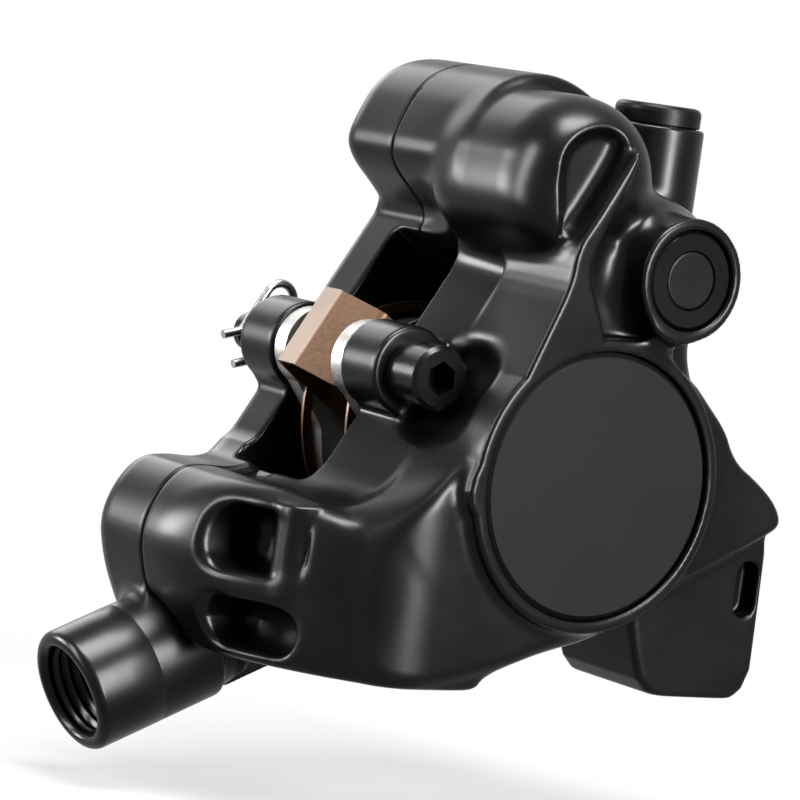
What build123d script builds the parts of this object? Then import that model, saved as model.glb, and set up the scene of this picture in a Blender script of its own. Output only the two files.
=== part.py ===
from build123d import *
import os
from math import cos, sin, radians, sqrt

os.makedirs("parts", exist_ok=True)

# Frame: the origin lies midway between the two M5 mounting holes, on the mounting face.
# +X runs rearward along the chainstay, +Y inboard towards the wheel, +Z up off the chainstay.
# Sizes are in millimetres and angles in degrees.

# Mounting
mount_spacing = 34.0
mount_hole_radius = 2.1
mount_hole_depth = 12.0

# Rotor that runs through the caliper
rotor_radius = 70.0
rotor_clearance = 1.8
rotor_y = 14.5
slot_half = 2.4

# Piston axis and the lean of the caliper over it
piston_x = -2.7
piston_z = 21.2
piston_circle = 57.0
lean = 60.0

# Mounting legs, measured from the hole that each one carries
front_leg_fore = 9.0
leg_outboard = 7.3
leg_inboard = 6.4
slot_width = 2.7
slot_height = 5.6
slot_depth = 2.4
slot_x = 21.0
slot_z = 11.4

# Body halves, measured from the rotor plane
outer_depth = 26.0
inner_depth = 12.4
inner_boss_depth = 15.4
pad_wall = 6.3
deck_height = 16.0
deck_drop = 2.5
window_high = 15.6
window_low = 13.9
lobe_front = 24.6
lobe_top = 36.0
lobe_bottom = 33.4
body_back = 13.6
dome_h = 17.0
dome_l = 25.0
dome_radius = 7.8
dome_end = -10.6
dome_step = 4.4
dome_rounding = 5.0
rim_bevel = 0.9
cast_radius = 1.2
edge_radius = 0.6

# Pistons, bores and seals
piston_radius = 11.0
piston_wall = 1.6
piston_floor = 2.0
piston_gap = 0.03
outer_piston_length = 11.0
inner_piston_length = 6.6
bore_wall = 1.4
seal_width = 2.0
seal_depth = 1.4
seal_land = 1.7
seal_gap = 0.02
seal_bite = 0.01

# Plain lid that closes the outer bore
lid_radius = 13.25
lid_thickness = 2.2
lid_recess = 0.2
lid_plug_radius = 12.3
lid_plug_length = 3.4
lid_gap = 0.15
lid_wall = 1.4
lid_rim = 1.3
lid_seal_radius = 0.6
lid_bevel = 0.5
piston_bevel = 0.4
bore_run = 0.8

# Brake pads
plate_thickness = 2.0
plate_low = 11.6
plate_shoulder = 9.6
tab_radius = 4.1
tab_rise = 2.0
lining_bevel = 0.4
lining_thickness = 2.1
pad_side_gap = 0.4
pad_seat_gap = 0.05
plate_corner = 1.5
lining_low = 10.2
lining_high = 7.6
lining_half_length = 12.0
lining_corner = 2.0
eye_gap = 0.12

# Pad axle and its clip
axle_height = 16.9
axle_radius = 2.0
axle_head_radius = 3.2
axle_head_length = 5.1
axle_hex = 3.0
axle_hex_depth = 3.0
axle_end = 32.6
axle_boss_radius = 4.5
axle_boss_length = 6.3
axle_pocket_radius = 5.7
axle_pocket_run = 6.2
axle_gap = 0.05
groove_radius = 1.3
groove_width = 1.2
groove_inset = 2.0
axle_bevel = 0.4
clip_wire = 0.45
clip_reach = 5.9
clip_upper_leg = 0.9
clip_lower_leg = 2.0
clip_upper_tail = 1.6
clip_lower_tail = 2.2

# Pad return spring of folded sheet
spring_sheet = 0.35
spring_roof = 20.9
spring_roof_width = 4.0
spring_shoulder = 0.9
spring_low_l = 4.0
spring_high_l = 5.0
spring_side_gap = 0.05
spring_drop = 3.0
spring_foot_gap = 0.8
spring_bend = 0.7
spring_arm_width = 1.0
spring_arm_top_h = 15.6
spring_arm_top_l = 3.4
spring_arm_middle_h = 11.6
spring_arm_middle_l = 8.9
spring_arm_foot_h = 4.0
spring_arm_foot_l = 12.75

# Hose port
port_y = 17.5
port_mouth_x = -41.8
port_mouth_z = -6.4
port_dip = 25.0
port_radius = 6.3
port_length = 26.0
port_bore_radius = 4.35
port_bore_depth = 14.0
port_gap = 0.3
port_groove = 0.5
port_groove_width = 1.4
port_groove_run = 13.4

# Shaping of the outer half round the lid, the bleed bosses and the lower lobe
bleed_shelf_h = 12.6
bleed_shelf_drop = 4.5
nipple_shelf_h = 13.0
nipple_shelf_l = 27.0
nipple_shelf_drop = 12.0
lobe_shelf_drop = 3.5
wing_set_back = 2.0
wing_thickness = 7.0
flank_fore = 20.0
flank_wall_y = -3.6
flank_pocket_end = 6.4
flank_floor = 1.4
rib_low = 5.8
rib_high = 8.3
flank_top = 14.6
scoop_h = 18.0
scoop_l = 22.6
scoop_half_width = 3.9
scoop_half_length = 5.4
scoop_depth = 4.6

# Bleed screw boss on the outboard face
bleed_x = 3.9
bleed_z = 42.3
bleed_boss_radius = 6.1
bleed_boss_stand = 1.5
bleed_boss_length = 12.0
bleed_screw_radius = 4.9
bleed_screw_thread = 3.0
bleed_screw_head = 2.2
bleed_screw_length = 8.5
bleed_rim = 0.35
bleed_cap_radius = 2.93
bleed_cap_depth = 1.5
bleed_cap_gap = 0.05
bleed_ring_radius = 0.6
bleed_bevel = 0.3
screw_gap = 0.05
screw_end_gap = 0.4

# Bleed nipple, standing on its own boss behind the upper lobe
nipple_x = 10.7
nipple_y = 5.3
nipple_boss_radius = 6.1
nipple_boss_top = 56.8
nipple_boss_bottom = 40.0
nipple_thread = 3.0
nipple_hex = 7.0
nipple_hex_height = 3.0
nipple_barb = 2.4
nipple_barb_height = 4.2
nipple_bore = 1.0
nipple_depth = 7.0
nipple_mouth_radius = 4.6
nipple_mouth_depth = 6.0
cap_radius = 5.4
cap_height = 2.2
cap_wall = 0.7
cap_skirt = 1.8
cap_edge = 0.8
cap_gap = 0.1

# Body bolts and the seal between the halves
bolt_h = 17.4
bolt_upper_l = 26.0
bolt_lower_l = -23.2
bolt_radius = 3.0
bolt_head_radius = 4.9
bolt_head_length = 4.6
bolt_length = 14.0
bolt_socket = 5.0
bolt_socket_depth = 2.6
bolt_head_gap = 0.3
bolt_end_gap = 0.5
bolt_gap = 0.05
crossover_h = 11.5
crossover_l = 31.5
crossover_radius = 1.7
ring_gap = 0.02
passage_depth = 6.0
crossover_wire = 0.6
passage_radius = 1.0

overrun = 4.0


# Derived places
def slab(y):
    """Plane across the wheel axis: x is radially outward (h), y runs up the pads (l), normal inboard."""
    return Plane(origin=(piston_x, y, piston_z), x_dir=(-sin(radians(lean)), 0, cos(radians(lean))), z_dir=(0, 1, 0))


def upright(y):
    """Plane square to Y with world X and Z as its axes; a positive extrusion goes outboard."""
    return Plane(origin=(0, y, 0), x_dir=(1, 0, 0), z_dir=(0, -1, 0))


def outline(corners):
    """Closed face through corners given as x, y and corner radius."""
    points = [(x, y) for x, y, r in corners]
    radii = [r for x, y, r in corners]
    with BuildSketch() as face:
        with BuildLine():
            FilletPolyline(*points, radius=radii, close=True)
        make_face()
    return face.sketch


def across(width):
    """Corner radius of a hexagon of the given width across flats."""
    return width / sqrt(3)


outer_face = rotor_y - outer_depth
outer_wall = rotor_y - pad_wall
inner_wall = rotor_y + pad_wall
parting = rotor_y + slot_half
inner_face = rotor_y + inner_depth
boss_face = rotor_y + inner_boss_depth
lid_face = outer_face + lid_recess
outer_plate_y = outer_wall + pad_seat_gap
inner_plate_y = inner_wall - pad_seat_gap
axle_boss_end = outer_wall - axle_boss_length
axle_head_end = axle_boss_end - axle_head_length
seal_outer_y = outer_wall - seal_land
seal_inner_y = inner_wall + seal_land

# Shares of the pad outlines
shoulder_share = 0.62
shoulder_drop_share = 0.45
lining_slope_share = 0.70
barb_neck_share = 0.70

# Outline of the bridge, as shares of the lobe sizes.
# Each corner is h as a share of lobe_front, l as a share of lobe_top or lobe_bottom, and a radius share.
upper_lobe_shares = [
    (0.915, 0.525, 0.10),
    (1.000, 0.620, 0.16),
    (1.000, 0.810, 0.26),
    (0.800, 0.985, 0.28),
    (0.400, 0.975, 0.24),
    (0.100, 0.875, 0.24),
    (-0.180, 0.560, 0.30),
]
upper_core_shares = [
    (0.660, 0.520, 0.05),
    (0.640, 0.700, 0.20),
    (0.400, 0.900, 0.24),
    (0.100, 0.905, 0.24),
    (-0.180, 0.560, 0.30),
]
lower_lobe_shares = [
    (-0.180, 0.580, 0.20),
    (0.240, 0.870, 0.14),
    (0.560, 1.000, 0.14),
    (0.860, 0.910, 0.24),
    (0.990, 0.730, 0.20),
    (0.975, 0.600, 0.12),
]


def bridge(front, top, bottom, back, deck, upper_shares):
    """Outline of the bridge seen along the wheel axis."""
    upper = [(h * front, l * top, r * front) for h, l, r in upper_shares]
    lower = [(h * front, -l * bottom, r * front) for h, l, r in lower_lobe_shares]
    root_high = (deck, window_high + cast_radius, 2 * cast_radius)
    root_low = (deck, -window_low + 3 * cast_radius, 5 * cast_radius)
    rear = [(-back, back * 0.75, back * 0.5), (-back, -back * 0.75, back * 0.5)]
    return outline([root_high] + upper + rear + lower + [root_low])


body_outline = bridge(lobe_front, lobe_top, lobe_bottom, body_back, deck_height, upper_lobe_shares)
core_outline = bridge(lobe_front, lobe_top, lobe_bottom, body_back, deck_height, upper_core_shares)

# Outline of the outboard plate behind the lid, as shares of half the hole spacing and of piston_z
wing_shares = [
    (-1.47, 0.02, 0.10),
    (-0.77, 0.11, 0.10),
    (0.04, 0.35, 0.30),
    (0.32, 0.43, 0.30),
    (0.72, 0.60, 0.30),
    (1.29, 0.83, 0.06),
    (1.30, 0.95, 0.15),
    (1.10, 1.08, 0.15),
    (0.88, 1.17, 0.10),
    (0.70, 1.45, 0.20),
    (0.40, 1.80, 0.20),
    (-0.60, 1.60, 0.20),
    (-1.30, 0.90, 0.20),
    (-1.62, 0.60, 0.10),
]
# Rear leg and front leg seen square on, as shares of half the hole spacing and of piston_z
rear_leg_shares = [
    (0.61, 0.00, 0.02),
    (1.382, 0.00, 0.02),
    (1.352, 0.86, 0.05),
    (1.10, 1.06, 0.10),
    (0.50, 1.00, 0.10),
    (0.36, 0.60, 0.10),
    (0.40, 0.30, 0.15),
]
front_leg_shares = [
    (-1.530, 0.00, 0.02),
    (-0.706, 0.00, 0.02),
    (-0.640, 0.14, 0.04),
    (0.05, 0.28, 0.15),
    (0.30, 0.60, 0.20),
    (-0.60, 1.00, 0.20),
    (-1.650, 0.66, 0.06),
]


def upright_outline(shares):
    """Closed face in world X and Z from shares of half the hole spacing and of piston_z."""
    half = mount_spacing / 2
    return outline([(x * half, z * piston_z, r * half) for x, z, r in shares])


def hole(y_start, y_end, radius, h, l):
    """Round cutter along the wheel axis between two depths."""
    with BuildPart() as cutter:
        with BuildSketch(slab(y_start)):
            with Locations((h, l)):
                Circle(radius)
        extrude(amount=y_end - y_start)
    return cutter.part


def window(y_start, y_end):
    """Opening for the pads between two depths."""
    middle = (window_high - window_low) / 2
    with BuildPart() as cutter:
        with BuildSketch(slab(y_start)):
            with Locations((0, middle)):
                Rectangle(4 * rotor_radius, window_high + window_low)
        extrude(amount=y_end - y_start)
    return cutter.part


def rotor_slot():
    """Slot for the rotor, its root concentric with the rotor."""
    return hole(rotor_y - slot_half, parting, rotor_radius + rotor_clearance, -piston_circle, 0)


def ring(y, mean_radius, wire_radius, h, l):
    """Round seal ring square to the wheel axis."""
    with BuildPart() as seal:
        with BuildSketch(Plane(origin=slab(y).from_local_coords((h, l, 0)), x_dir=slab(y).x_dir, z_dir=slab(y).y_dir)):
            with Locations((mean_radius, 0)):
                Circle(wire_radius)
        revolve(axis=Axis(slab(y).from_local_coords((h, l, 0)), (0, 1, 0)))
    return seal.part


def dome():
    """Round outboard end of the upper lobe, with a full rounding on its end."""
    with BuildPart() as end:
        add(hole(dome_end, dome_step, dome_radius, dome_h, dome_l))
        fillet(end.faces().sort_by(Axis.Y)[0].edges(), dome_rounding)
    return end.part


def hose_tube(radius, start, run):
    """Cylinder on the hose inlet's axis; start is measured inward from the mouth."""
    dip = radians(port_dip)
    inward = (cos(dip), 0, sin(dip))
    place = (port_mouth_x + start * cos(dip), port_y, port_mouth_z + start * sin(dip))
    with BuildPart() as tube:
        with BuildSketch(Plane(origin=place, x_dir=(0, 1, 0), z_dir=inward)):
            Circle(radius)
        extrude(amount=run)
    return tube.part


def hose_groove():
    """Ring cutter for the shallow groove round the hose inlet."""
    with BuildPart() as groove:
        add(hose_tube(port_radius + port_groove, port_groove_run, port_groove_width))
        add(hose_tube(port_radius - port_groove, port_groove_run, port_groove_width), mode=Mode.SUBTRACT)
    return groove.part


# Outer body half
bleed_face = outer_face - bleed_boss_stand
bleed_seat_y = bleed_face + bleed_rim + bleed_screw_head
deck_plane = Plane(slab(0).from_local_coords((0, -window_low, 0)), x_dir=slab(0).x_dir, z_dir=slab(0).y_dir)
flank_x = -mount_spacing / 2 - front_leg_fore
with BuildPart() as body_outer:
    with BuildSketch(slab(dome_step)):
        add(body_outline)
    extrude(amount=parting - dome_step)
    with BuildSketch(slab(outer_face)):
        add(core_outline)
    extrude(amount=dome_step - outer_face)
    # Deck falls away towards the outboard edge
    with BuildSketch(deck_plane):
        with BuildLine():
            Polyline(
                (deck_height, -outer_wall),
                (deck_height + lobe_front, -outer_wall),
                (deck_height + lobe_front, -outer_face + overrun),
                (deck_height - deck_drop, -outer_face + overrun),
                (deck_height - deck_drop, -outer_face),
                close=True,
            )
        make_face()
    extrude(amount=window_low + window_high, mode=Mode.SUBTRACT)
    # Shelves round the bleed screw, the bleed nipple and the lower lobe
    for shelf_h, shelf_l, drop in (
        (bleed_shelf_h - lobe_front, lid_radius + lid_rim + lobe_top / 2, bleed_shelf_drop),
        (nipple_shelf_h - lobe_front, nipple_shelf_l + lobe_top / 2, nipple_shelf_drop),
        (lobe_front / 2, -lid_radius - lid_rim - lobe_top / 2, lobe_shelf_drop),
    ):
        with BuildSketch(slab(outer_face - overrun)):
            with Locations((shelf_h, shelf_l)):
                Rectangle(2 * lobe_front, lobe_top)
        extrude(amount=overrun + drop, mode=Mode.SUBTRACT)
    add(dome())
    # Diagonal flank from the lower lobe to the front leg
    with BuildSketch(Plane.XY.offset(-overrun)):
        with BuildLine():
            Polyline(
                (-mount_spacing / 2 - flank_fore, outer_wall),
                (flank_x, -leg_outboard),
                (flank_x, outer_face - overrun),
                (-2 * mount_spacing, outer_face - overrun),
                (-2 * mount_spacing, outer_wall),
                close=True,
            )
        make_face()
    extrude(amount=piston_z + overrun, mode=Mode.SUBTRACT)
    # Rim round the lid, and the plate that spreads from it to the legs
    with BuildSketch(slab(outer_face)):
        Circle(lid_radius + lid_rim)
    extrude(amount=outer_wall - outer_face)
    with BuildSketch(upright(outer_face + wing_set_back)):
        add(upright_outline(wing_shares))
    extrude(amount=-wing_thickness)
    # Mounting legs
    with BuildSketch(upright(-leg_outboard)):
        add(upright_outline(rear_leg_shares))
    extrude(amount=-(leg_outboard + leg_inboard))
    with BuildSketch(upright(-leg_outboard)):
        add(upright_outline(front_leg_shares))
    extrude(amount=-(leg_outboard + outer_wall))
    # Bleed screw boss and bleed nipple boss
    with BuildSketch(upright(bleed_face)):
        with Locations((bleed_x, bleed_z)):
            Circle(bleed_boss_radius)
    extrude(amount=-bleed_boss_length)
    with BuildSketch(Plane(origin=(nipple_x, nipple_y, nipple_boss_bottom))):
        Circle(nipple_boss_radius)
    extrude(amount=nipple_boss_top - nipple_boss_bottom)
    with BuildSketch(Plane(origin=(nipple_x, nipple_y, nipple_boss_top))):
        Circle(nipple_boss_radius)
    extrude(amount=mount_spacing, mode=Mode.SUBTRACT)
    # Everything is cut off level with the mounting face
    with BuildSketch(Plane.XY):
        Rectangle(4 * mount_spacing, 4 * mount_spacing)
    extrude(amount=-mount_spacing, mode=Mode.SUBTRACT)
    # Pocket round the head of the pad axle, then the boss that carries the axle
    add(hole(axle_boss_end, axle_head_end - axle_pocket_run, axle_pocket_radius, axle_height, 0), mode=Mode.SUBTRACT)
    add(hole(axle_boss_end, outer_wall, axle_boss_radius, axle_height, 0))
    add(hole(axle_boss_end, outer_wall, axle_radius + axle_gap, axle_height, 0), mode=Mode.SUBTRACT)
    # Pockets in the diagonal flank, with a rib between them
    for low, high in ((flank_floor, rib_low), (rib_high, flank_top)):
        with BuildSketch(Plane.XY.offset(low)):
            with BuildLine():
                FilletPolyline(
                    (-2 * mount_spacing, flank_wall_y),
                    (flank_x - cast_radius, flank_wall_y),
                    (flank_x - cast_radius, flank_pocket_end),
                    (-2 * mount_spacing, flank_pocket_end),
                    radius=cast_radius,
                    close=True,
                )
            make_face()
        extrude(amount=high - low, mode=Mode.SUBTRACT)
    # Oval scoop in the outboard end of the upper lobe
    with BuildSketch(slab(outer_face - overrun)):
        with Locations((scoop_h, scoop_l)):
            Ellipse(scoop_half_width, scoop_half_length)
    extrude(amount=overrun + scoop_depth, mode=Mode.SUBTRACT)
    add(window(outer_wall, parting + overrun), mode=Mode.SUBTRACT)
    add(rotor_slot(), mode=Mode.SUBTRACT)
    # Way past the hose inlet of the inner half
    add(hose_tube(port_radius + port_gap, 0, port_length + overrun), mode=Mode.SUBTRACT)
    # Piston bore with its seal groove, and the stepped seat of the lid
    lid_seat_y = lid_face + lid_thickness
    add(hole(outer_face, outer_wall, piston_radius + piston_gap, 0, 0), mode=Mode.SUBTRACT)
    add(hole(seal_outer_y - seal_width, seal_outer_y, piston_radius + seal_depth, 0, 0), mode=Mode.SUBTRACT)
    add(hole(outer_face, lid_seat_y, lid_radius + lid_gap, 0, 0), mode=Mode.SUBTRACT)
    add(hole(outer_face, lid_seat_y + lid_plug_length + lid_gap, lid_plug_radius, 0, 0), mode=Mode.SUBTRACT)
    # Bleed screw seat and thread
    with BuildSketch(upright(bleed_face)):
        with Locations((bleed_x, bleed_z)):
            Circle(bleed_screw_radius + screw_gap)
    extrude(amount=-(bleed_rim + bleed_screw_head), mode=Mode.SUBTRACT)
    with BuildSketch(upright(bleed_seat_y)):
        with Locations((bleed_x, bleed_z)):
            Circle(bleed_screw_thread + screw_gap)
    extrude(amount=-bleed_screw_length, mode=Mode.SUBTRACT)
    # Bleed nipple: wide mouth for its hexagon and cap, then its thread
    with BuildSketch(Plane(origin=(nipple_x, nipple_y, nipple_boss_top))):
        Circle(nipple_mouth_radius)
    extrude(amount=-nipple_mouth_depth, mode=Mode.SUBTRACT)
    with BuildSketch(Plane(origin=(nipple_x, nipple_y, nipple_boss_top - nipple_mouth_depth))):
        Circle(nipple_thread + screw_gap)
    extrude(amount=-nipple_depth, mode=Mode.SUBTRACT)
    # Mounting holes
    with BuildSketch(Plane.XY):
        with Locations((-mount_spacing / 2, 0), (mount_spacing / 2, 0)):
            Circle(mount_hole_radius)
    extrude(amount=mount_hole_depth, mode=Mode.SUBTRACT)
    # Oblong window for the locking pin of the rear mounting bolt
    with BuildSketch(upright(-leg_outboard)):
        with Locations((slot_x, slot_z)):
            SlotOverall(slot_height, slot_width, rotation=90)
    extrude(amount=-slot_depth, mode=Mode.SUBTRACT)
    # Threads of the body bolts, and the fluid way with its ring groove
    for l in (bolt_upper_l, bolt_lower_l):
        bolt_end = inner_face - bolt_head_length - bolt_length
        add(hole(bolt_end, parting, bolt_radius + bolt_gap, bolt_h, l), mode=Mode.SUBTRACT)
    add(hole(parting - passage_depth, parting, passage_radius, crossover_h, crossover_l), mode=Mode.SUBTRACT)
    ring_room = crossover_radius + crossover_wire + ring_gap
    add(hole(parting - 2 * crossover_wire, parting, ring_room, crossover_h, crossover_l), mode=Mode.SUBTRACT)
body_outer.part.label = "body_outer"
export_step(body_outer.part, "parts/body_outer.step")

# Inner body half
with BuildPart() as body_inner:
    with BuildSketch(slab(parting)):
        add(body_outline)
    extrude(amount=inner_face - parting)
    chamfer(body_inner.faces().filter_by(Plane.XZ).sort_by(Axis.Y)[-1].edges(), rim_bevel)
    # Raised wall behind the inner piston
    with BuildSketch(slab(inner_face - rim_bevel)):
        Circle(piston_radius + bore_wall + bore_wall)
    extrude(amount=boss_face - inner_face + rim_bevel)
    fillet(body_inner.faces().filter_by(Plane.XZ).sort_by(Axis.Y)[-1].edges(), cast_radius)
    # Everything of the bridge is cut off level with the mounting face
    with BuildSketch(Plane.XY):
        Rectangle(4 * mount_spacing, 4 * mount_spacing)
    extrude(amount=-mount_spacing, mode=Mode.SUBTRACT)
    # Hose inlet
    add(hose_tube(port_radius, 0, port_length))
    add(hole(parting, inner_face, axle_boss_radius, axle_height, 0))
    add(window(outer_wall, inner_wall), mode=Mode.SUBTRACT)
    add(rotor_slot(), mode=Mode.SUBTRACT)
    add(hole(parting, inner_face + overrun, axle_radius + axle_gap, axle_height, 0), mode=Mode.SUBTRACT)
    # Piston bore with its seal groove
    bore_end = inner_wall + inner_piston_length + bore_run
    add(hole(inner_wall, bore_end, piston_radius + piston_gap, 0, 0), mode=Mode.SUBTRACT)
    add(hole(seal_inner_y, seal_inner_y + seal_width, piston_radius + seal_depth, 0, 0), mode=Mode.SUBTRACT)
    # Body bolt holes with sunk seats, and the fluid way
    for l in (bolt_upper_l, bolt_lower_l):
        seat_y = inner_face - bolt_head_length
        add(hole(parting, inner_face, bolt_radius + bolt_gap, bolt_h, l), mode=Mode.SUBTRACT)
        add(hole(seat_y, inner_face, bolt_head_radius + bolt_head_gap, bolt_h, l), mode=Mode.SUBTRACT)
    add(hole(parting, parting + passage_depth, passage_radius, crossover_h, crossover_l), mode=Mode.SUBTRACT)
    # Hose inlet bore, and the groove round its outside
    add(hose_groove(), mode=Mode.SUBTRACT)
    add(hose_tube(port_bore_radius, 0, port_bore_depth), mode=Mode.SUBTRACT)
    add(hose_tube(passage_radius, 0, port_length - bore_wall), mode=Mode.SUBTRACT)
body_inner.part.label = "body_inner"
export_step(body_inner.part, "parts/body_inner.step")

# Bolts that clamp the halves, as one group of two separate solids
with BuildPart() as body_bolts:
    for l in (bolt_upper_l, bolt_lower_l):
        seat_y = inner_face - bolt_head_length
        with BuildSketch(slab(seat_y)):
            with Locations((bolt_h, l)):
                Circle(bolt_head_radius)
        extrude(amount=bolt_head_length)
        with BuildSketch(slab(seat_y)):
            with Locations((bolt_h, l)):
                Circle(bolt_radius)
        extrude(amount=-bolt_length + bolt_end_gap)
        with BuildSketch(slab(inner_face)):
            with Locations((bolt_h, l)):
                RegularPolygon(across(bolt_socket), 6)
        extrude(amount=-bolt_socket_depth, mode=Mode.SUBTRACT)
    fillet(body_bolts.edges().filter_by(GeomType.CIRCLE).group_by(Axis.Y)[-1], edge_radius)
body_bolts.part.label = "body_bolts"
export_step(body_bolts.part, "parts/body_bolts.step")

# Ring that seals the fluid way between the halves
with BuildPart() as crossover_seal:
    add(ring(parting - crossover_wire, crossover_radius, crossover_wire - seal_bite, crossover_h, crossover_l))
crossover_seal.part.label = "crossover_seal"
export_step(crossover_seal.part, "parts/crossover_seal.step")

# Plain lid of the outer bore, with a hollow plug that carries its ring
plug_radius = lid_plug_radius - lid_gap
ring_radius = lid_plug_radius - lid_seal_radius
lid_seal_y = lid_seat_y + lid_plug_length / 2
with BuildPart() as bore_cap:
    with BuildSketch(slab(lid_face)):
        Circle(lid_radius)
    extrude(amount=lid_thickness)
    chamfer(bore_cap.faces().sort_by(Axis.Y)[0].edges(), lid_bevel)
    with BuildSketch(slab(lid_seat_y)):
        Circle(plug_radius)
    extrude(amount=lid_plug_length)
    with BuildSketch(slab(lid_seat_y + lid_plug_length)):
        Circle(ring_radius - lid_seal_radius - lid_wall)
    extrude(amount=-lid_plug_length, mode=Mode.SUBTRACT)
    with BuildSketch(slab(lid_seal_y - lid_seal_radius)):
        Circle(plug_radius + lid_gap)
        Circle(ring_radius - lid_seal_radius, mode=Mode.SUBTRACT)
    extrude(amount=2 * lid_seal_radius, mode=Mode.SUBTRACT)
bore_cap.part.label = "bore_cap"
export_step(bore_cap.part, "parts/bore_cap.step")

# Ring under the lid
with BuildPart() as bore_cap_seal:
    add(ring(lid_seal_y, ring_radius, lid_seal_radius - seal_bite, 0, 0))
bore_cap_seal.part.label = "bore_cap_seal"
export_step(bore_cap_seal.part, "parts/bore_cap_seal.step")


def piston_cup(face_y, length):
    """Cup that opens at face_y; a positive length runs inboard from there."""
    towards = 1 if length > 0 else -1
    with BuildPart() as cup:
        with BuildSketch(slab(face_y)):
            Circle(piston_radius)
        extrude(amount=length)
        chamfer(cup.edges().filter_by(GeomType.CIRCLE), piston_bevel)
        with BuildSketch(slab(face_y)):
            Circle(piston_radius - piston_wall)
        extrude(amount=length - towards * piston_floor, mode=Mode.SUBTRACT)
    return cup.part


# Pistons, their open ends against the pads
with BuildPart() as outer_piston:
    add(piston_cup(outer_wall, -outer_piston_length))
outer_piston.part.label = "outer_piston"
export_step(outer_piston.part, "parts/outer_piston.step")

with BuildPart() as inner_piston:
    add(piston_cup(inner_wall, inner_piston_length))
inner_piston.part.label = "inner_piston"
export_step(inner_piston.part, "parts/inner_piston.step")


def square_seal(y_start):
    """Square seal ring that fills its groove round a piston."""
    with BuildPart() as seal:
        with BuildSketch(slab(y_start + seal_gap)):
            Circle(piston_radius + seal_depth - seal_gap)
            Circle(piston_radius + seal_gap, mode=Mode.SUBTRACT)
        extrude(amount=seal_width - 2 * seal_gap)
    return seal.part


# Piston seals
with BuildPart() as outer_piston_seal:
    add(square_seal(seal_outer_y - seal_width))
outer_piston_seal.part.label = "outer_piston_seal"
export_step(outer_piston_seal.part, "parts/outer_piston_seal.step")

with BuildPart() as inner_piston_seal:
    add(square_seal(seal_inner_y))
inner_piston_seal.part.label = "inner_piston_seal"
export_step(inner_piston_seal.part, "parts/inner_piston_seal.step")

# Pad outline: square foot, sloping shoulders and a round tab with the axle's eye
plate_half = window_low - pad_side_gap
shoulder_l = plate_half * shoulder_share
plate_corners = [
    (-plate_low, -plate_half, plate_corner),
    (plate_shoulder * shoulder_drop_share, -plate_half, plate_corner),
    (plate_shoulder, -shoulder_l, plate_corner),
    (plate_shoulder + tab_rise, -tab_radius - tab_rise, plate_corner),
    (axle_height, -tab_radius, 0),
    (axle_height, tab_radius, 0),
    (plate_shoulder + tab_rise, tab_radius + tab_rise, plate_corner),
    (plate_shoulder, shoulder_l, plate_corner),
    (plate_shoulder * shoulder_drop_share, plate_half, plate_corner),
    (-plate_low, plate_half, plate_corner),
]
plate_outline = outline(plate_corners)
lining_corners = [
    (-lining_low, -lining_half_length, lining_corner),
    (lining_high * lining_slope_share, -lining_half_length, lining_corner),
    (lining_high, -lining_half_length * lining_slope_share, lining_corner),
    (lining_high, lining_half_length * lining_slope_share, lining_corner),
    (lining_high * lining_slope_share, lining_half_length, lining_corner),
    (-lining_low, lining_half_length, lining_corner),
]
lining_outline = outline(lining_corners)


def pad_plate(y, thickness):
    """Backing plate from y, with a round tab and the axle's eye."""
    with BuildPart() as plate:
        with BuildSketch(slab(y)):
            add(plate_outline)
            with Locations((axle_height, 0)):
                Circle(tab_radius)
                Circle(axle_radius + eye_gap, mode=Mode.SUBTRACT)
        extrude(amount=thickness)
    return plate.part


def pad_lining(y, thickness):
    """Friction block from y, with bevelled edges on its worn face."""
    with BuildPart() as lining:
        with BuildSketch(slab(y)):
            add(lining_outline)
        extrude(amount=thickness)
        worn = lining.faces().filter_by(Plane.XZ).sort_by(Axis.Y)[-1 if thickness > 0 else 0]
        chamfer(worn.edges(), lining_bevel)
    return lining.part


# Pads
with BuildPart() as outer_pad_plate:
    add(pad_plate(outer_plate_y, plate_thickness))
outer_pad_plate.part.label = "outer_pad_plate"
export_step(outer_pad_plate.part, "parts/outer_pad_plate.step")

with BuildPart() as outer_pad_lining:
    add(pad_lining(outer_plate_y + plate_thickness, lining_thickness))
outer_pad_lining.part.label = "outer_pad_lining"
export_step(outer_pad_lining.part, "parts/outer_pad_lining.step")

with BuildPart() as inner_pad_plate:
    add(pad_plate(inner_plate_y, -plate_thickness))
inner_pad_plate.part.label = "inner_pad_plate"
export_step(inner_pad_plate.part, "parts/inner_pad_plate.step")

with BuildPart() as inner_pad_lining:
    add(pad_lining(inner_plate_y - plate_thickness, -lining_thickness))
inner_pad_lining.part.label = "inner_pad_lining"
export_step(inner_pad_lining.part, "parts/inner_pad_lining.step")

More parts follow.
